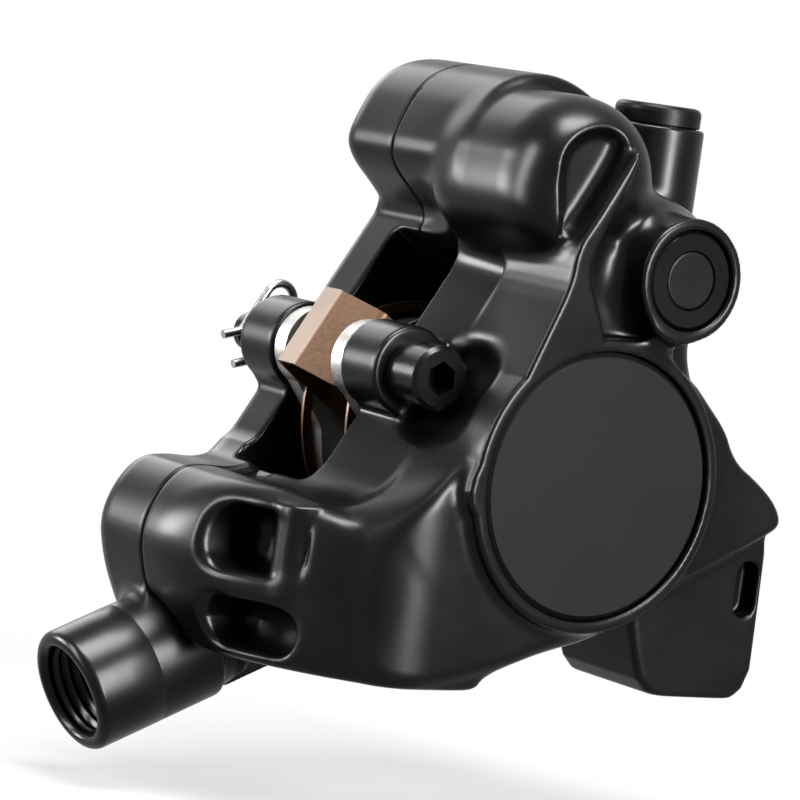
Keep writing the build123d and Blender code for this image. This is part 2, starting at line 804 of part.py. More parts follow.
# Pad return spring: folded sheet over the axle, its legs between the plates
leg_outer_y = outer_plate_y + plate_thickness + spring_side_gap
leg_inner_y = inner_plate_y - plate_thickness - spring_side_gap
spring_foot = lining_high + spring_foot_gap
spring_plane = Plane(slab(0).from_local_coords((0, -spring_low_l, 0)), x_dir=slab(0).x_dir, z_dir=slab(0).y_dir)
with BuildPart() as pad_spring:
    with BuildSketch(spring_plane):
        with BuildLine():
            FilletPolyline(
                (spring_foot, -leg_outer_y - spring_sheet / 2),
                (spring_roof - spring_drop, -leg_outer_y - spring_sheet / 2),
                (spring_roof, -leg_inner_y + spring_roof_width),
                (spring_roof, -leg_inner_y + spring_shoulder),
                (spring_roof - spring_drop, -leg_inner_y + spring_sheet / 2),
                (spring_foot, -leg_inner_y + spring_sheet / 2),
                radius=spring_bend,
            )
            offset(amount=spring_sheet / 2)
        make_face()
    extrude(amount=spring_low_l + spring_high_l)
    # Curved arms that run down past both ends of the linings
    for y, thickness in ((leg_outer_y, spring_sheet), (leg_inner_y, -spring_sheet)):
        for side in (-1, 1):
            with BuildLine() as arm:
                ThreePointArc(
                    (spring_arm_top_h, side * spring_arm_top_l),
                    (spring_arm_middle_h, side * spring_arm_middle_l),
                    (spring_arm_foot_h, side * spring_arm_foot_l),
                )
            with BuildSketch(slab(y)):
                SlotArc(arm.edges()[0], spring_arm_width)
            extrude(amount=thickness)
    add(hole(outer_wall, inner_wall, axle_radius + eye_gap, axle_height, 0), mode=Mode.SUBTRACT)
pad_spring.part.label = "pad_spring"
export_step(pad_spring.part, "parts/pad_spring.step")

# Pad axle with its socket head and clip groove
with BuildPart() as pad_axle:
    with BuildSketch(slab(axle_head_end)):
        with Locations((axle_height, 0)):
            Circle(axle_head_radius)
    extrude(amount=axle_head_length)
    with BuildSketch(slab(axle_boss_end)):
        with Locations((axle_height, 0)):
            Circle(axle_radius)
    extrude(amount=axle_end - axle_boss_end)
    chamfer(pad_axle.edges().filter_by(GeomType.CIRCLE).group_by(Axis.Y)[0], axle_bevel)
    chamfer(pad_axle.edges().filter_by(GeomType.CIRCLE).group_by(Axis.Y)[-1], axle_bevel)
    with BuildSketch(slab(axle_head_end)):
        with Locations((axle_height, 0)):
            RegularPolygon(across(axle_hex), 6)
    extrude(amount=axle_hex_depth, mode=Mode.SUBTRACT)
    with BuildSketch(slab(axle_end - groove_inset - groove_width / 2)):
        with Locations((axle_height, 0)):
            Circle(axle_radius + axle_gap)
            Circle(groove_radius, mode=Mode.SUBTRACT)
    extrude(amount=groove_width, mode=Mode.SUBTRACT)
pad_axle.part.label = "pad_axle"
export_step(pad_axle.part, "parts/pad_axle.step")

# Wire clip that straddles the groove of the axle
clip_half = groove_radius + clip_wire + ring_gap
clip_plane = slab(axle_end - groove_inset)
with BuildPart() as axle_clip:
    with BuildLine(clip_plane) as clip_line:
        Polyline(
            (axle_height - clip_half + clip_lower_tail, -clip_lower_leg - clip_lower_tail),
            (axle_height - clip_half, -clip_lower_leg),
            (axle_height - clip_half, clip_reach - clip_half),
        )
        ThreePointArc(
            (axle_height - clip_half, clip_reach - clip_half),
            (axle_height, clip_reach),
            (axle_height + clip_half, clip_reach - clip_half),
        )
        Polyline(
            (axle_height + clip_half, clip_reach - clip_half),
            (axle_height + clip_half, -clip_upper_leg),
            (axle_height + clip_half + clip_upper_tail, -clip_upper_leg - clip_upper_tail),
        )
    with BuildSketch(Plane(origin=clip_line.line @ 0, z_dir=clip_line.line % 0)):
        Circle(clip_wire)
    sweep(path=clip_line.line, transition=Transition.ROUND)
axle_clip.part.label = "axle_clip"
export_step(axle_clip.part, "parts/axle_clip.step")

# Bleed screw, driven at its head, with room under the head for its ring
screw_face_y = bleed_face + bleed_rim
with BuildPart() as bleed_screw:
    with BuildSketch(upright(screw_face_y)):
        with Locations((bleed_x, bleed_z)):
            Circle(bleed_screw_radius)
    extrude(amount=-bleed_screw_head)
    chamfer(bleed_screw.faces().sort_by(Axis.Y)[0].edges(), bleed_bevel)
    with BuildSketch(upright(bleed_seat_y)):
        with Locations((bleed_x, bleed_z)):
            Circle(bleed_screw_thread)
    extrude(amount=-bleed_screw_length + screw_end_gap)
    with BuildSketch(upright(bleed_seat_y)):
        with Locations((bleed_x, bleed_z)):
            Circle(bleed_screw_thread + 2 * bleed_ring_radius)
            Circle(bleed_screw_thread, mode=Mode.SUBTRACT)
    extrude(amount=2 * bleed_ring_radius, mode=Mode.SUBTRACT)
    with BuildSketch(upright(screw_face_y)):
        with Locations((bleed_x, bleed_z)):
            Circle(bleed_cap_radius + bleed_cap_gap)
    extrude(amount=-bleed_cap_depth, mode=Mode.SUBTRACT)
bleed_screw.part.label = "bleed_screw"
export_step(bleed_screw.part, "parts/bleed_screw.step")

# Ring under the head of the bleed screw
with BuildPart() as bleed_screw_oring:
    with BuildSketch(Plane(origin=(bleed_x, bleed_seat_y - bleed_ring_radius, bleed_z), z_dir=(0, 0, 1))):
        with Locations((bleed_screw_thread + bleed_ring_radius, 0)):
            Circle(bleed_ring_radius - seal_bite)
    revolve(axis=Axis((bleed_x, 0, bleed_z), (0, 1, 0)))
bleed_screw_oring.part.label = "bleed_screw_oring"
export_step(bleed_screw_oring.part, "parts/bleed_screw_oring.step")

# Rubber plug in the bleed screw
with BuildPart() as bleed_screw_cap:
    with BuildSketch(upright(screw_face_y)):
        with Locations((bleed_x, bleed_z)):
            Circle(bleed_cap_radius)
    extrude(amount=-bleed_cap_depth)
    fillet(bleed_screw_cap.faces().sort_by(Axis.Y)[0].edges(), bleed_bevel)
bleed_screw_cap.part.label = "bleed_screw_cap"
export_step(bleed_screw_cap.part, "parts/bleed_screw_cap.step")

# Bleed nipple: threaded foot, hexagon and hose barb, with a fluid way up its middle
nipple_seat_z = nipple_boss_top - nipple_mouth_depth
barb_z = nipple_seat_z + nipple_hex_height
with BuildPart() as bleed_nipple:
    with BuildSketch(Plane(origin=(nipple_x, nipple_y, nipple_seat_z))):
        RegularPolygon(across(nipple_hex), 6)
    extrude(amount=nipple_hex_height)
    with BuildSketch(Plane(origin=(nipple_x, nipple_y, nipple_seat_z))):
        Circle(nipple_thread)
    extrude(amount=-nipple_depth + screw_end_gap)
    with BuildSketch(Plane(origin=(nipple_x, nipple_y, 0), x_dir=(1, 0, 0), z_dir=(0, -1, 0))):
        with BuildLine():
            Polyline(
                (0, barb_z),
                (nipple_barb * barb_neck_share, barb_z),
                (nipple_barb * barb_neck_share, barb_z + nipple_barb_height * barb_neck_share),
                (nipple_barb, barb_z + nipple_barb_height * barb_neck_share),
                (nipple_barb * barb_neck_share, barb_z + nipple_barb_height),
                (0, barb_z + nipple_barb_height),
                close=True,
            )
        make_face()
    revolve(axis=Axis((nipple_x, nipple_y, 0), (0, 0, 1)))
    with BuildSketch(Plane(origin=(nipple_x, nipple_y, barb_z + nipple_barb_height))):
        Circle(nipple_bore)
    extrude(amount=-(nipple_barb_height + nipple_hex_height + nipple_depth / 2), mode=Mode.SUBTRACT)
bleed_nipple.part.label = "bleed_nipple"
export_step(bleed_nipple.part, "parts/bleed_nipple.step")

# Rubber cap that closes the mouth over the nipple
with BuildPart() as nipple_cap:
    with BuildSketch(Plane(origin=(nipple_x, nipple_y, nipple_boss_top))):
        Circle(cap_radius)
    extrude(amount=cap_height)
    fillet(nipple_cap.faces().sort_by(Axis.Z)[-1].edges(), cap_edge)
    with BuildSketch(Plane(origin=(nipple_x, nipple_y, nipple_boss_top))):
        Circle(nipple_mouth_radius - cap_gap)
    extrude(amount=-cap_skirt)
    with BuildSketch(Plane(origin=(nipple_x, nipple_y, nipple_boss_top - cap_skirt))):
        Circle(nipple_barb + cap_gap)
    extrude(amount=cap_skirt + cap_height - cap_wall, mode=Mode.SUBTRACT)
nipple_cap.part.label = "nipple_cap"
export_step(nipple_cap.part, "parts/nipple_cap.step")
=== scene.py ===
import math
import bpy
import numpy as np
from mathutils import Matrix


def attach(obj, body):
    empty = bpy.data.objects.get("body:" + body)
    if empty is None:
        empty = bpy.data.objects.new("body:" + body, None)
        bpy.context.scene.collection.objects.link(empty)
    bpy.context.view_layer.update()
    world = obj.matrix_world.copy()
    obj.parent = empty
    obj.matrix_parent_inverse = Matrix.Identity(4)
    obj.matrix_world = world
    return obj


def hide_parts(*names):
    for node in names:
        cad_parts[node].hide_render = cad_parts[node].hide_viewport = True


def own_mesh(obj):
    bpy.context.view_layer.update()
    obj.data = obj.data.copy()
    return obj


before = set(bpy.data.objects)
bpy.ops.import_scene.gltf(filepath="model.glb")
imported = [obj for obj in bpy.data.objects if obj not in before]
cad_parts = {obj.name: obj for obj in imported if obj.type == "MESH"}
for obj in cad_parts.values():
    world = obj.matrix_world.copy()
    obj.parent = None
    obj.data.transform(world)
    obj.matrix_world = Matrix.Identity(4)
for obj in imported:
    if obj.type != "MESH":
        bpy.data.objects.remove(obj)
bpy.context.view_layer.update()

# One millimetre in the scene's metres
MM = 0.001

# Driving places and sizes of the solids, in the row frame, in millimetres and degrees
PISTON_X = -2.7
PISTON_Z = 21.2
LEAN = math.radians(60.0)
OUTER_FACE = -11.5
OUTER_WALL = 8.2
INNER_WALL = 20.8
PARTING = 16.9
INNER_FACE = 26.9
BOSS_FACE = 29.9
WINDOW_HIGH = 15.6
WINDOW_LOW = 13.9
PORT = (-41.8, 17.5, -6.4)
PORT_DIP = math.radians(25.0)
MOUNTS_X = (-17.0, 17.0)

# Centres in h and l, which run radially outward and along the pads from the piston's axis
PISTON = (0.0, 0.0)
AXLE = (16.9, 0.0)
ROTOR = (-57.0, 0.0)
DOME = (17.3, 24.1)
BOLTS = ((17.4, 26.0), (17.4, -23.2))
# Centres in X and Z, then in X and Y
BLEED = (3.9, 42.3)
NIPPLE = (10.7, 5.3)
PILLAR = (-28.9, 0.45)
NIPPLE_TOP = 56.8

GRID_STEP = 0.28

# Rounding of a machined edge, how far forms run past the joint face, and a height above everything
MACHINED = 0.2
OVERLAP = 2.0
ABOVE_ALL = 70.0

# Both halves. A span is a form's two planes and the rounding of its edges
WINDOW_EDGE = 1.6
ROTOR_RADIUS = 71.8
ROTOR_SPAN = (12.1, PARTING, MACHINED)
AXLE_HOLE_RADIUS = 2.1
AXLE_BOSS_RADIUS = 4.5
PISTON_BORE_RADIUS = 11.15
BOLT_RADIUS = 3.1

# Outer half
OUTER_BOX = ((-42.0, -15.0, -2.0), (26.0, 18.6, 63.0))
DECK = 16.0
DECK_FALL = 2.6
DECK_EDGE = 4.0
DECK_PAST_WINDOW_LOW = 2.2
DECK_PAST_WINDOW_HIGH = 1.4
UPPER_SPAN = (4.4, PARTING + OVERLAP, 1.4)
LOWER_SPAN = (-8.0, PARTING + OVERLAP, 3.0)
CORE_SPAN = (-7.0, PARTING + OVERLAP, 3.0)
MIDDLE_SPAN = (-9.0, PARTING + OVERLAP, 1.0)
DOME_RADIUS = 7.8
DOME_SPAN = (-10.6, 12.0, 8.5)
# The dome's fillet is wide toward the deck and narrow on the far side
DOME_FILLET_LEAST = 0.8
DOME_FILLET_MORE = 4.2
DOME_FILLET_START = 21.5
DOME_FILLET_RUN = 6.0
RIM_RADIUS = 14.6
PLATEAU_SPAN = (OUTER_FACE, 0.0, 0.5)
WING_SPAN = (-9.8, -3.0, 1.2)
REAR_LEG_SPAN = (-7.3, 6.4, 0.9)
FRONT_LEG_PAST_WALL = 4.0
FRONT_LEG_SPAN = (-8.6, OUTER_WALL + FRONT_LEG_PAST_WALL, 1.4)
BLEED_RADIUS = 6.1
BLEED_SPAN = (-13.0, 2.0, 0.5)
NIPPLE_RADIUS = 4.95
NIPPLE_SPAN = (36.0, NIPPLE_TOP, 0.5)
# The flank passes through this X at the outer wall, and runs this far in X for its run in Y
FLANK_AT_X = -37.2
FLANK_RUN_X = 11.0
FLANK_RUN_Y = 15.5
FLANK_TOP = 25.0
FLANK_TOP_EDGE = 1.0
# Lower and upper Z of each pocket and the slope of its floor
POCKETS = ((1.2, 6.0, 0.8), (8.6, 15.0, 0.0))
POCKET_FLOOR_RUN = 5.0
POCKET_SPAN = (-2.2, 7.8, 3.0)
POCKET_END_X = -27.4
POCKET_END_EDGE = 2.4
PILLAR_RADIUS = 2.2
PILLAR_SPAN = (7.0, 16.0, 0.5)
SCOOP_SPAN = (-20.0, -8.0, 1.4)
HEAD_ROOM_RADIUS = 6.0
HEAD_ROOM_SPAN = (-6.6, 1.9, 4.4)
HEAD_ROOM_FLOOR = 12.9
HEAD_ROOM_FLOOR_EDGE = 1.2
OUTER_AXLE_BOSS_SPAN = (1.9, OUTER_WALL, 0.5)
# Room for the inner half's tube, given as the inner half's own bars on that axis are
HOSE_ROOM = (6.6, -2.0, 32.0, 0.5)
LID_SEAT_RADIUS = 13.35
LID_SEAT_SPAN = (-14.0, -9.1, MACHINED)
LID_PLUG_RADIUS = 12.3
LID_PLUG_SPAN = (-14.0, -5.55, MACHINED)
BLEED_SEAT_RADIUS = 5.0
BLEED_SEAT_SPAN = (-15.0, -10.45, MACHINED)
BLEED_THREAD_RADIUS = 3.1
BLEED_THREAD_SPAN = (-15.0, -2.0, MACHINED)
NIPPLE_MOUTH_RADIUS = 4.2
NIPPLE_MOUTH_DEPTH = 6.0
NIPPLE_MOUTH_SPAN = (NIPPLE_TOP - NIPPLE_MOUTH_DEPTH, ABOVE_ALL, MACHINED)
NIPPLE_THREAD_RADIUS = 3.1
NIPPLE_THREAD_DEPTH = 13.0
NIPPLE_THREAD_SPAN = (NIPPLE_TOP - NIPPLE_THREAD_DEPTH, ABOVE_ALL, MACHINED)
# Oblong slot in the rear leg
SLOT = (21.1, 11.4)
SLOT_HALF_LENGTH = 1.5
SLOT_RADIUS = 1.35
SLOT_SPAN = (-9.0, -4.9, 0.4)
MOUNT_RADIUS = 2.1
MOUNT_SPAN = (-3.0, 12.0, MACHINED)
BOLT_THREAD_SPAN = (8.4, 20.0, MACHINED)

# Inner half
INNER_BOX = ((-46.0, 10.0, -16.0), (14.0, 31.4, 63.0))
INNER_OVERLAP = 3.0
INNER_LOBE_SPAN = (PARTING - INNER_OVERLAP, INNER_FACE, 3.4)
INNER_MIDDLE_SPAN = (PARTING - INNER_OVERLAP, INNER_FACE, 1.6)
PISTON_BOSS_RADIUS = 13.9
PISTON_BOSS_SPAN = (20.0, BOSS_FACE, 2.4)
INNER_AXLE_BOSS_PROUD = 0.2
INNER_AXLE_BOSS_SPAN = (INNER_WALL, INNER_FACE + INNER_AXLE_BOSS_PROUD, 0.6)
INNER_BORE_SPAN = (16.0, 28.2, MACHINED)
BOLT_HEAD_RADIUS = 5.15
BOLT_HEAD_SPAN = (22.3, 40.0, MACHINED)
# Radius, start and end inward of the hose inlet's mouth, and rounding of the ends
HOSE_TUBE = (6.3, 3.0, 25.5, 0.8)
HOSE_GROOVE = (9.0, 14.6, 16.4, 0.3)
HOSE_GROOVE_FLOOR = (5.7, 10.0, 20.0, 0.3)
HOSE_GROOVE_EDGE = 0.3
HOSE_BORE = (5.0, -3.0, 13.8, MACHINED)
HOSE_FLUID_WAY = (1.0, -3.0, 22.0, MACHINED)

# Fillet where each form meets the body, or rounding of the edge that its cut leaves
FILLET = {
    "dome": 1.2, "upper_lobe": 2.4, "lower_lobe": 3.0, "middle": 1.0, "deck": 1.2, "plateau": 0.6,
    "wing": 1.6, "rear_leg": 1.8, "front_leg": 2.6, "bleed": 3.2, "nipple": 2.0, "flank": 4.6, "pocket": 1.0,
    "pillar": 0.7, "scoop": 0.9, "mount_face": 0.5, "head_room": 1.4, "outer_axle_boss": 0.8, "window": 0.35,
    "rotor": 0.35, "axle_hole": 0.3, "parting": 0.3, "hose_room": 0.4, "lid_seat": 0.18, "bleed_seat": 0.35,
    "nipple_mouth": 0.3, "slot": 0.4, "mount": 0.3, "inner_upper_lobe": 1.0, "inner_lower_lobe": 1.6,
    "inner_foot": 2.0, "piston_boss": 2.0, "hose_groove": 0.4, "hose_tube": 2.2, "inner_axle_boss": 1.6,
    "inner_bore": 0.3, "bolt_head": 0.35, "hose_bore": 0.5,
}


def union(a, b, k):
    """Joins two distance fields with a fillet of about k."""
    blend = np.maximum(k - np.abs(a - b), 0.0) / k
    return np.minimum(a, b) - blend * blend * k / 4


def common(a, b, k):
    """Keeps what two distance fields share, its edge rounded by about k."""
    return -union(-a, -b, k)


def cut(a, b, k):
    """Takes b out of a, the edge rounded by about k."""
    return -union(-a, b, k)


def between(v, low, high):
    """Distance field of the slab between two planes."""
    return np.maximum(low - v, v - high)


def curve(points, rounds=3):
    """Closed outline whose corners are cut off again and again."""
    p = np.array(points, float)
    for _ in range(rounds):
        q = np.roll(p, -1, axis=0)
        p = np.stack([0.75 * p + 0.25 * q, 0.25 * p + 0.75 * q], 1).reshape(-1, 2)
    return p


def inside(u, v, points):
    """Signed distance to a closed outline in two coordinates."""
    p = np.array(points, float)
    q = np.roll(p, -1, axis=0)
    shape = np.broadcast(u, v).shape
    best = np.full(shape, 1e9, np.float32)
    side = np.zeros(shape, bool)
    for (ax, ay), (bx, by) in zip(p, q):
        ex, ey = bx - ax, by - ay
        wx, wy = u - ax, v - ay
        t = np.clip((wx * ex + wy * ey) / (ex * ex + ey * ey + 1e-12), 0, 1)
        best = np.minimum(best, (wx - ex * t) ** 2 + (wy - ey * t) ** 2)
        if ay != by:
            crosses = (ay > v) != (by > v)
            side ^= crosses & (u < ex * (v - ay) / ey + ax)
    return np.where(side, -1, 1) * np.sqrt(best)


def grid(low, high, step):
    """Coordinates of a box of points: X, Y, Z, radially outward h and along the pads l."""
    x, y, z = (np.arange(a, b + step, step, dtype=np.float32) for a, b in zip(low, high))
    gx, gy, gz = x[:, None, None], y[None, :, None], z[None, None, :]
    dx, dz = gx - PISTON_X, gz - PISTON_Z
    h = -math.sin(LEAN) * dx + math.cos(LEAN) * dz
    l = math.cos(LEAN) * dx + math.sin(LEAN) * dz
    return gx, gy, gz, h, l


def round_bar(u, v, cu, cv, radius):
    """Distance field of an endless round bar."""
    return np.sqrt((u - cu) ** 2 + (v - cv) ** 2) - radius


def slab(outline, u, v, w, span, rounds=3):
    """Smoothed outline in u and v, held between two planes across w."""
    low, high, edge = span
    return common(inside(u, v, curve(outline, rounds)) + 0 * w, between(w, low, high), edge)


def disc(centre, radius, u, v, w, span):
    """Round bar along w, held between two planes."""
    low, high, edge = span
    return common(round_bar(u, v, *centre, radius) + 0 * w, between(w, low, high), edge)


def sample(field, points, low, step):
    """Field values at points, from the eight grid values round each."""
    p = (points - low) / step
    i = np.clip(np.floor(p).astype(int), 0, np.array(field.shape) - 2)
    f = p - i
    out = 0.0
    for a in (0, 1):
        for b in (0, 1):
            for c in (0, 1):
                w = f[:, 0] if a else 1 - f[:, 0]
                w = w * (f[:, 1] if b else 1 - f[:, 1])
                w = w * (f[:, 2] if c else 1 - f[:, 2])
                out = out + w * field[i[:, 0] + a, i[:, 1] + b, i[:, 2] + c]
    return out


def skin(name, field, low, step):
    """Mesh object of the surface where a distance field is zero."""
    low = np.array(low, float)
    inner = field < 0
    cells = np.zeros(np.array(field.shape) - 1, np.int8)
    corners = [(a, b, c) for a in (0, 1) for b in (0, 1) for c in (0, 1)]
    nx, ny, nz = cells.shape
    for a, b, c in corners:
        cells += inner[a:nx + a, b:ny + b, c:nz + c]
    active = np.argwhere((cells > 0) & (cells < 8))
    values = {k: field[active[:, 0] + k[0], active[:, 1] + k[1], active[:, 2] + k[2]] for k in corners}
    total = np.zeros((len(active), 3))
    count = np.zeros(len(active))
    for k in corners:
        for axis in range(3):
            if k[axis]:
                continue
            m = tuple(1 if n == axis else k[n] for n in range(3))
            va, vb = values[k], values[m]
            hit = (va < 0) != (vb < 0)
            t = np.where(hit, va / np.where(hit, va - vb, 1), 0)
            point = np.array(k, float) + np.eye(3)[axis] * t[:, None]
            total += point * hit[:, None]
            count += hit
    verts = low + (active + total / count[:, None]) * step
    number = np.full(cells.shape, -1, np.int64)
    number[tuple(active.T)] = np.arange(len(active))
    quads = []
    for axis in range(3):
        n = [slice(None)] * 3
        m = [slice(None)] * 3
        n[axis], m[axis] = slice(0, -1), slice(1, None)
        a, b = inner[tuple(n)], inner[tuple(m)]
        edge = np.argwhere(a != b)
        starts_in = a[tuple(edge.T)]
        u, v = [w for w in range(3) if w != axis]
        ok = (edge[:, u] > 0) & (edge[:, v] > 0)
        ok &= (edge[:, u] < cells.shape[u]) & (edge[:, v] < cells.shape[v])
        edge, starts_in = edge[ok], starts_in[ok]
        ring = []
        for du, dv in ((1, 1), (0, 1), (0, 0), (1, 0)):
            place = edge.copy()
            place[:, u] -= du
            place[:, v] -= dv
            ring.append(number[tuple(place.T)])
        ring = np.stack(ring, 1)
        flip = starts_in if axis != 1 else ~starts_in
        ring[~flip] = ring[~flip][:, ::-1]
        quads.append(ring)
    faces = np.concatenate(quads)
    mesh = bpy.data.meshes.new(name)
    mesh.from_pydata((verts * MM).tolist(), [], faces.tolist())
    mesh.update()
    slopes = []
    for n in range(3):
        ahead = np.eye(3)[n] * step * 0.5
        slopes.append(sample(field, verts + ahead, low, step) - sample(field, verts - ahead, low, step))
    slope = np.stack(slopes, 1)
    slope /= np.linalg.norm(slope, axis=1)[:, None] + 1e-9
    mesh.polygons.foreach_set("use_smooth", [True] * len(mesh.polygons))
    mesh.normals_split_custom_set_from_vertices(slope.tolist())
    thing = bpy.data.objects.new(name, mesh)
    bpy.context.scene.collection.objects.link(thing)
    return thing


# Outlines across the wheel axis, in h and l
UPPER_LOBE = [
    (16.2, 17.2), (17.0, 17.9), (19.2, 18.4), (22.4, 19.0), (24.4, 20.4), (25.0, 23.5), (25.2, 27.5),
    (23.4, 31.2), (19.6, 34.0), (15.0, 35.0), (10.0, 34.4), (4.6, 32.8), (0.0, 28.4), (-4.4, 20.0),
    (-4.4, 12.0),
]
LOWER_LOBE = [
    (16.2, -11.0), (16.8, -13.2), (18.8, -15.6), (22.0, -17.2), (24.2, -19.0), (24.8, -22.6),
    (24.0, -26.4), (21.4, -29.2), (18.4, -31.4), (13.8, -34.0), (6.0, -29.0), (-4.4, -19.4), (-4.4, -10.0),
]
MIDDLE = [
    (15.2, 20.0), (16.0, 18.8), (16.0, 15.4), (16.0, -12.0), (16.0, -15.2), (14.6, -16.4), (2.0, -17.0),
    (-9.0, -13.0), (-14.2, -6.0), (-14.2, 6.0), (-9.0, 13.0), (2.0, 17.0),
]
CORE = [
    (15.2, -18.0), (15.8, 18.0), (12.4, 27.4), (8.0, 28.4), (3.0, 29.4), (-2.4, 25.6), (-3.6, 19.0),
    (-8.0, 15.6), (-13.6, 12.4), (-14.4, 0.0), (-12.0, -9.0), (-4.0, -16.0), (6.0, -20.0),
]
# Ridge that rises from the lid's rim to the dome
HORN = [
    (13.2, -9.0), (13.7, 0.0), (14.9, 8.0), (15.7, 13.4), (17.2, 16.2), (17.5, 20.0), (17.7, 26.6),
    (17.2, 28.6), (16.2, 26.0), (15.5, 19.5), (14.6, 15.4), (11.0, 13.4), (4.0, 8.0), (4.0, -8.0),
    (9.0, -11.0),
]
SCOOP = [
    (17.4, 16.6), (17.5, 27.2), (18.4, 28.6), (20.4, 28.2), (22.2, 26.2), (22.7, 23.8), (21.6, 21.4),
    (19.4, 18.7),
]
# Outlines seen square on, in X and Z
WING = [
    (-24.0, 0.2), (-13.4, 1.8), (0.7, 7.2), (5.4, 8.9), (12.2, 12.6), (21.3, 17.3), (22.7, 18.6),
    (21.6, 20.7), (18.8, 22.8), (15.4, 24.7), (13.4, 28.4), (6.0, 34.0), (-10.0, 30.0), (-22.6, 17.6),
    (-27.6, 12.9), (-26.0, 0.2),
]
REAR_LEG = [
    (10.2, -1.0), (23.5, -1.0), (23.3, 10.0), (23.0, 18.4), (18.8, 22.6), (8.0, 21.0), (6.0, 13.0),
    (7.2, 6.0),
]
FRONT_LEG = [
    (-26.0, -1.0), (-12.0, -1.0), (-10.9, 2.8), (0.9, 5.9), (5.0, 12.0), (-8.0, 20.0), (-22.4, 17.4),
    (-28.1, 13.3),
]


def hose_field(x, y, z, radius, start, end, k):
    """Round bar on the hose inlet's axis, from start to end inward of its mouth."""
    dx, dy, dz = x - PORT[0], y - PORT[1], z - PORT[2]
    run = dx * math.cos(PORT_DIP) + dz * math.sin(PORT_DIP)
    side = -dx * math.sin(PORT_DIP) + dz * math.cos(PORT_DIP)
    return common(np.sqrt(side ** 2 + dy ** 2) - radius, between(run, start, end), k)


def openings(body, y, h, l):
    """Window for the pads, slot for the rotor and the axle's hole."""
    pads = common(between(l, -WINDOW_LOW, WINDOW_HIGH), between(y, OUTER_WALL, INNER_WALL), WINDOW_EDGE)
    body = cut(body, pads, FILLET["window"])
    body = cut(body, disc(ROTOR, ROTOR_RADIUS, h, l, y, ROTOR_SPAN), FILLET["rotor"])
    return cut(body, round_bar(h, l, *AXLE, AXLE_HOLE_RADIUS) + 0 * y, FILLET["axle_hole"])


def outer_casting(y, h, l):
    """Lobes with the domed end, the deck between them, and the rim and ridge round the lid."""
    upper = slab(UPPER_LOBE, h, l, y, UPPER_SPAN)
    dome = disc(DOME, DOME_RADIUS, h, l, y, DOME_SPAN)
    lobe = union(upper, dome, FILLET["dome"])
    body = union(slab(CORE, h, l, y, CORE_SPAN), lobe, FILLET["upper_lobe"])
    body = union(body, slab(LOWER_LOBE, h, l, y, LOWER_SPAN), FILLET["lower_lobe"])
    body = union(body, slab(MIDDLE, h, l, y, MIDDLE_SPAN), FILLET["middle"])
    deck = DECK - DECK_FALL * (OUTER_WALL - y) / (OUTER_WALL - OUTER_FACE)
    below_deck = h - np.minimum(deck, DECK)
    in_deck = between(l, -WINDOW_LOW - DECK_PAST_WINDOW_LOW, WINDOW_HIGH + DECK_PAST_WINDOW_HIGH)
    body = cut(body, common(-below_deck, in_deck, DECK_EDGE), FILLET["deck"])
    t = np.clip((DOME_FILLET_START - l) / DOME_FILLET_RUN, 0.0, 1.0)
    body = union(body, dome, DOME_FILLET_LEAST + DOME_FILLET_MORE * t ** 2 * (3 - 2 * t))
    raised = np.minimum(round_bar(h, l, *PISTON, RIM_RADIUS), inside(h, l, curve(HORN, 2)))
    low, high, edge = PLATEAU_SPAN
    plateau = common(raised + 0 * y, between(y, low, high), edge)
    return union(body, plateau, FILLET["plateau"])


def add_legs_and_bosses(body, x, y, z):
    """Plate and legs down to the mounting face, and the two bleed bosses."""
    body = union(body, slab(WING, x, z, y, WING_SPAN), FILLET["wing"])
    body = union(body, slab(REAR_LEG, x, z, y, REAR_LEG_SPAN, 2), FILLET["rear_leg"])
    body = union(body, slab(FRONT_LEG, x, z, y, FRONT_LEG_SPAN, 2), FILLET["front_leg"])
    body = union(body, disc(BLEED, BLEED_RADIUS, x, z, y, BLEED_SPAN), FILLET["bleed"])
    return union(body, disc(NIPPLE, NIPPLE_RADIUS, x, y, z, NIPPLE_SPAN), FILLET["nipple"])


def cut_flank(body, x, y, z):
    """Diagonal flank from the lower lobe to the front leg, with two pockets and a rib."""
    side = (x - FLANK_AT_X) * FLANK_RUN_Y - (OUTER_WALL - y) * FLANK_RUN_X
    side = side / math.hypot(FLANK_RUN_Y, FLANK_RUN_X)
    body = cut(body, common(side, z - FLANK_TOP, FLANK_TOP_EDGE), FILLET["flank"])
    low, high, edge = POCKET_SPAN
    for z_low, z_high, floor_slope in POCKETS:
        rise = z_low + floor_slope * np.clip(-side, 0.0, POCKET_FLOOR_RUN)
        pocket = common(np.maximum(rise - z, z - z_high), between(y, low, high) + 0 * x, edge)
        pocket = common(pocket, x - POCKET_END_X + 0 * y, POCKET_END_EDGE)
        body = cut(body, pocket, FILLET["pocket"])
    return union(body, disc(PILLAR, PILLAR_RADIUS, x, y, z, PILLAR_SPAN), FILLET["pillar"])


